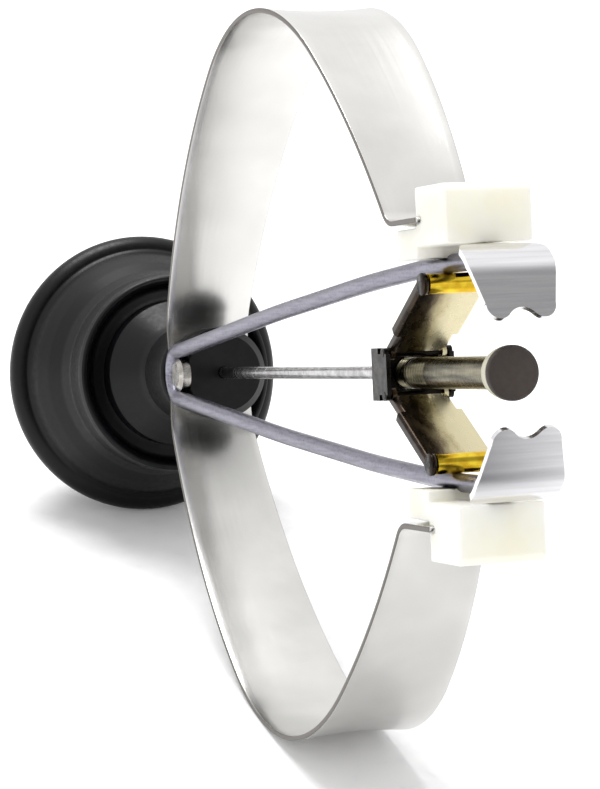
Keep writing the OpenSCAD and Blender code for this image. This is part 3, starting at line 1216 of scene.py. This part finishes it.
@dataclass
class Toggle:
    """The yoke, the two links and their pins."""

    claw: tuple = (43.8, 4.75)
    cheek: tuple = (1.69, 1.96)
    ear_r: float = 0.6

    def ear(self, side: Side, end: int) -> Object:
        """The round ear of a link's cheek over the bush's end: a circle carried along the pin's axis.

        Args:
            side: The half of the tool.
            end: -1 for the near cheek, 1 for the far one.

        Returns:
            The piece.
        """
        ease = 0.04
        y = np.array([self.cheek[0], self.cheek[0], self.cheek[1] - ease, self.cheek[1]]) * end
        y[1] += ease * end
        r = np.array([self.ear_r - ease, self.ear_r, self.ear_r, self.ear_r - ease])
        a = np.linspace(0, 2 * np.pi, 48, endpoint=False)
        ring = np.stack([np.cos(a), np.sin(a)], -1)
        path = np.stack([np.full(4, self.claw[0]), y, np.full(4, self.claw[1])], -1)
        obj = sweep(
            f"link_ear_{side.word}_{'near' if end < 0 else 'far'}",
            path,
            np.tile([1.0, 0.0, 0.0], (4, 1)),
            np.tile([0.0, 0.0, 1.0], (4, 1)),
            r[:, None, None] * ring[None],
            side,
        )
        dress(obj, LINK_CHROMATE_PAINTED_REFLECTION)
        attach(obj, f"link_{side.word}")
        return obj

    def build(self) -> None:
        """Rounds the stamped edges of the yoke and the links."""
        yoke = eased_copy("yoke", 0.05)
        dress(yoke, YOKE_BLACK)
        for side in Side:
            link = eased_copy(f"link_{side.word}", 0.04)
            dress(link, LINK_CHROMATE_PAINTED_REFLECTION)
            dress_nodes(PIN_DARK, f"yoke_pin_{side.word}", f"link_pin_{side.word}")
            for end in (-1, 1):
                self.ear(side, end)
        log.info("toggle: yoke and links")


@dataclass
class Plunger:
    """The screw that sets the height of the pad, with its thread, collar and pad."""

    radius: float = 0.87
    back: float = 34.9
    thread_end: float = 41.0
    pitch: float = 0.36
    depth: float = 0.12
    flare_x: float = 48.9

    def screw(self) -> Object:
        """The shank: its radius less the thread's depth times a wave of (x / pitch - angle).

        Returns:
            The piece.
        """
        n, m = 620, 72
        x = np.linspace(self.back, self.flare_x, n)
        t = np.linspace(0, 2 * np.pi, m, endpoint=False)
        phase = x[:, None] / self.pitch - t[None] / (2 * np.pi)
        wave = 0.5 - 0.5 * np.cos(2 * np.pi * phase)
        fade = np.clip((self.thread_end - x) / 0.5, 0, 1)[:, None]
        r = self.radius - self.depth * wave * fade
        r[:3] -= np.linspace(0.12, 0.0, 3)[:, None]
        pts = np.stack([np.repeat(x[:, None], m, 1), r * np.cos(t), r * np.sin(t)], -1)
        return make_piece("plunger_thread", pts.reshape(-1, 3), tube_faces(n, m))

    def build(self) -> None:
        """Makes the screw and its collar and dresses the pad and the rod."""
        screw = self.screw()
        dress(screw, SCREW_STEEL)
        collar = revolve(
            "plunger_collar",
            np.array(
                [(48.86, 0.8), (48.9, 0.87), (49.3, 1.1), (49.6, 1.26), (50.0, 1.36), (50.3, 1.4)]
                + [(50.43, 1.4), (50.46, 1.37)]
            ),
            96,
        )
        dress(collar, COLLAR_PALE)
        for piece in (screw, collar):
            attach(piece, "plunger")
            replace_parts(piece, "plunger_screw")
        pad = revolve(
            "plunger_pad_disc",
            np.array(
                [(50.45, 1.32), (50.47, 1.39), (50.53, 1.42), (50.74, 1.42), (50.82, 1.4)]
                + [(50.88, 1.34), (50.9, 1.25)]
            ),
            96,
        )
        dress(pad, PAD_FACE)
        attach(pad, "plunger")
        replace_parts(pad, "plunger_pad")
        dress_nodes(ROD_STEEL, "guide_rod")
        log.info("plunger: screw, collar and pad")


@dataclass
class Feet:
    """The two moulded feet."""

    edge: float = 0.22

    def build(self) -> None:
        """Rounds the edges of the feet as a mould leaves them."""
        for side in Side:
            foot = eased_copy(f"foot_{side.word}", self.edge)
            dress(foot, FOOT_NYLON)
            log.info("foot: %s", side.word)


@dataclass
class Hub:
    """The hub on the bow, with the stud through it."""

    def build(self) -> None:
        """Dresses the turned pieces."""
        dress_nodes(HUB_BLACK, "hub")
        dress_nodes(PIN_STEEL, "stud")
        log.info("hub")


# Studio


@dataclass
class PhotoCamera:
    """A camera at the photograph's angle, in the tool's own directions.

    The picture is 600 by 789 pixels; azimuth turns from the tool's axis towards +y, and the roll is
    how far the camera leans.
    """

    azimuth: float = -19.429
    elevation: float = 1.424
    roll: float = -2.639
    distance: float = 155.228
    target_x: float = 22.0
    shift: tuple = (-1.124, -1.321)
    focal_px: float = 2548.75

    def build(self) -> Object:
        """Places the camera.

        Returns:
            The camera object.
        """
        a, e, r = (math.radians(v) for v in (self.azimuth, self.elevation, self.roll))
        back = np.array([math.cos(e) * math.cos(a), math.cos(e) * math.sin(a), math.sin(e)])
        ahead = -back
        right = np.cross(ahead, [0.0, 0.0, 1.0])
        right /= np.linalg.norm(right)
        up = np.cross(right, ahead)
        right, up = (
            math.cos(r) * right + math.sin(r) * up,
            -math.sin(r) * right + math.cos(r) * up,
        )
        place = (
            np.array([self.target_x, 0.0, 0.0])
            + back * self.distance
            + right * self.shift[0]
            + up * self.shift[1]
        )
        at = TOOL.place(place[None])[0]
        axes = np.stack([TOOL.aim(right), TOOL.aim(up), TOOL.aim(back)], -1)
        data = bpy.data.cameras.new("photo_camera")
        data.sensor_fit = "VERTICAL"
        data.sensor_height = 36.0
        data.lens = self.focal_px * 36.0 / 789.0
        data.clip_start = 0.01
        data.clip_end = 20.0
        cam = show("photo_camera", data)
        set_at(cam, axes, at)
        bpy.context.scene.camera = cam
        log.info("camera at %s", np.round(at, 4))
        return cam


@dataclass(frozen=True)
class DarkPlace:
    """A dark place of the surround.

    It has a direction, how tall it is, the cosines at its edge and core, and its level.
    """

    direction: tuple[float, float, float]
    squash: float
    edge: float
    core: float
    level: float

    def share(self, tree: Tree, aim: Socket) -> Socket:
        """The surround's level in a direction: it falls with the cosine to the place.

        Args:
            tree: The node tree.
            aim: The direction, of any length; its height is squashed first.

        Returns:
            A value socket, 1 away from the place and its level at its core.
        """
        kind = "ShaderNodeVectorMath"
        low = add(tree, kind, {0: aim, 1: (1.0, 1.0, self.squash)}, operation="MULTIPLY")
        unit = add(tree, kind, {0: low.outputs["Vector"]}, operation="NORMALIZE")
        both = {0: unit.outputs["Vector"], 1: self.direction}
        facing = add(tree, kind, both, operation="DOT_PRODUCT").outputs["Value"]
        return span(tree, facing, (self.edge, self.core), (1.0, self.level), "SMOOTHSTEP")


def between(tree: Tree, share: Socket, first: object, second: object) -> Socket:
    """Mixes two values.

    Args:
        tree: The node tree.
        share: How much of the second there is.
        first: A number or socket.
        second: A number or socket.

    Returns:
        The mixed value's socket.
    """
    return add(
        tree, "ShaderNodeMix", {"Factor": share, 2: first, 3: second}, data_type="FLOAT"
    ).outputs["Result"]


@dataclass
class Studio:
    """A white bench, a white surround and a soft lamp."""

    floor_size: float = 3.0
    world: float = 0.85
    dark: tuple = (
        DarkPlace((0.966, -0.259, 0.0), 0.4, 0.8, 0.9, 0.07),
        DarkPlace((0.55, 0.3, 0.78), 1.0, 0.84, 0.97, 0.36),
    )
    near: tuple = (0.03, 0.07)
    far: tuple = (0.08, 0.4)
    glow: tuple = (0.06, 0.3)

    def floor(self) -> None:
        """A matt bench that keeps the shadow; to the camera it adds its own white to meet the backdrop.

        Whoever holds the camera shades its near end, which only the polished pieces mirror.
        """
        half = self.floor_size / 2
        corners = [(-half, -half, 0.0), (half, -half, 0.0), (half, half, 0.0), (-half, half, 0.0)]
        mesh = bpy.data.meshes.new("bench")
        mesh.from_pydata(corners, [], [[0, 1, 2, 3]])
        obj = show("bench", mesh)
        mat, tree = new_material("white_bench")
        rays = add(tree, "ShaderNodeLightPath").outputs
        place = add(tree, "ShaderNodeTexCoord").outputs["Object"]
        grain = noise(tree, place, 2.0, scale=900.0)
        tone = ramp(tree, grain, [(0.3, "#F6F6F7"), (0.7, "#FFFFFF")])
        away = add(tree, "ShaderNodeVectorMath", {0: place}, operation="LENGTH").outputs["Value"]
        close, distant = (span(tree, away, reach, kind="SMOOTHSTEP") for reach in (self.near, self.far))
        level = between(tree, close, 1.0, self.dark[0].share(tree, place))
        shaded = add(tree, "ShaderNodeVectorMath", {0: tone, 3: level}, operation="SCALE")
        matt = add(tree, "ShaderNodeBsdfDiffuse", {"Color": tone}).outputs["BSDF"]
        mirrored = add(tree, "ShaderNodeBsdfDiffuse", {"Color": shaded.outputs["Vector"]}).outputs["BSDF"]
        seen_in = {0: rays["Is Glossy Ray"], 1: matt, 2: mirrored}
        bounced = add(tree, "ShaderNodeMixShader", seen_in).outputs[0]
        white = {"Color": linear("#FFFFFF"), "Strength": span(tree, distant, target=self.glow)}
        glow = add(tree, "ShaderNodeEmission", white).outputs["Emission"]
        seen = add(tree, "ShaderNodeAddShader", {0: matt, 1: glow}).outputs[0]
        pick = add(tree, "ShaderNodeMixShader", {0: rays["Is Camera Ray"], 1: bounced, 2: seen})
        add(tree, "ShaderNodeOutputMaterial", {"Surface": pick.outputs[0]})
        obj.data.materials.append(mat)

    def surround(self) -> None:
        """World light: a plain level all round, and two dark places that the polished pieces mirror.

        Whoever holds the camera stands in front of the tool, and the ceiling over them is dim. The
        world isn't sampled as a lamp, so that every reflection sees them.
        """
        world = bpy.data.worlds.new("white_surround")
        bpy.context.scene.world = world
        world.use_nodes = True
        world.cycles.sampling_method = "NONE"
        tree = world.node_tree
        tree.nodes.clear()
        rays = add(tree, "ShaderNodeLightPath").outputs
        place = add(tree, "ShaderNodeTexCoord").outputs["Generated"]
        dark = sum_of(tree, "MULTIPLY", *(p.share(tree, place) for p in self.dark))
        plain = between(tree, rays["Is Glossy Ray"], self.world, dark)
        straight = sum_of(tree, "MAXIMUM", rays["Is Camera Ray"], rays["Is Transmission Ray"])
        level = between(tree, straight, plain, 1.0)
        glow = add(tree, "ShaderNodeBackground", {"Color": linear("#FFFFFF"), "Strength": level})
        add(tree, "ShaderNodeOutputWorld", {"Surface": glow.outputs[0]})

    def lamp(self, name: str, place: tuple, target: tuple, size: float, watts: float) -> None:
        """A square soft lamp that faces a point.

        Args:
            name: Its name.
            place: Where it is, in metres.
            target: The point that it faces, in metres.
            size: Length of its side, in metres.
            watts: Its power.
        """
        data = bpy.data.lights.new(name, "AREA")
        data.shape = "SQUARE"
        data.size = size
        data.energy = watts
        z = np.array(place, float) - np.array(target, float)
        z /= np.linalg.norm(z)
        x = np.cross([0.0, 1.0, 0.0] if abs(z[2]) > 0.9 else [0.0, 0.0, 1.0], z)
        x /= np.linalg.norm(x)
        set_at(show(name, data), np.stack([x, np.cross(z, x), z], -1), place)

    def build(self) -> None:
        """Sets the stage."""
        self.floor()
        self.surround()
        self.lamp("top_lamp", (-0.16, -0.04, 0.42), (0.0, 0.0, 0.0), 0.22, 1.5)


def main() -> None:
    """Builds the sub-assemblies, the camera and the studio."""
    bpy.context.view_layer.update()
    PhotoCamera().build()
    for part in (Bow(), Knob(), Hub(), Claws(), Toggle(), Plunger(), Feet(), Studio()):
        part.build()
    bpy.context.scene.view_settings.view_transform = "Standard"


if __name__ == "__main__":
    main()
